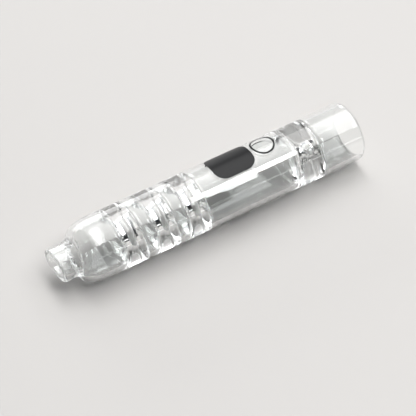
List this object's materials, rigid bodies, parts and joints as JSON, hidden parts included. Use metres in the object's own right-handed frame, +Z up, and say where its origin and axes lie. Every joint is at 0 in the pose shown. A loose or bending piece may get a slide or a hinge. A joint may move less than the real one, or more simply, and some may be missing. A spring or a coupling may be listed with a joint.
{
  "type": "straight glass hand pipe",
  "caption": "Straight clear glass hand pipe with a narrow mouth tube, a rounded shoulder, pressed restriction rings, a plain barrel and an open bowl.",
  "frame": {"origin": "under the middle of the tube's length, on the plane that the tube rests on", "axes": "+X along the tube from the mouth end to the bowl, +Z up, +Y to the side that the mark leans to"},
  "size_m": [0.1016, 0.019, 0.0191],
  "materials": {
    "clear_glass": "fire-polished, smooth and glossy",
    "black_enamel": "satin, screen printed and fired"
  },
  "bodies": {
    "root": {"mouth_tube": "clear_glass", "shoulder": "clear_glass", "front_chamber": "clear_glass", "front_ring": "clear_glass", "middle_chamber": "clear_glass", "middle_ring": "clear_glass", "rear_chamber": "clear_glass", "rear_ring": "clear_glass", "barrel_tube": "clear_glass", "bowl_seal": "clear_glass", "bowl_tube": "clear_glass", "mark_patch": "black_enamel", "mark_keyline": "black_enamel"}
  },
  "joints": []
}
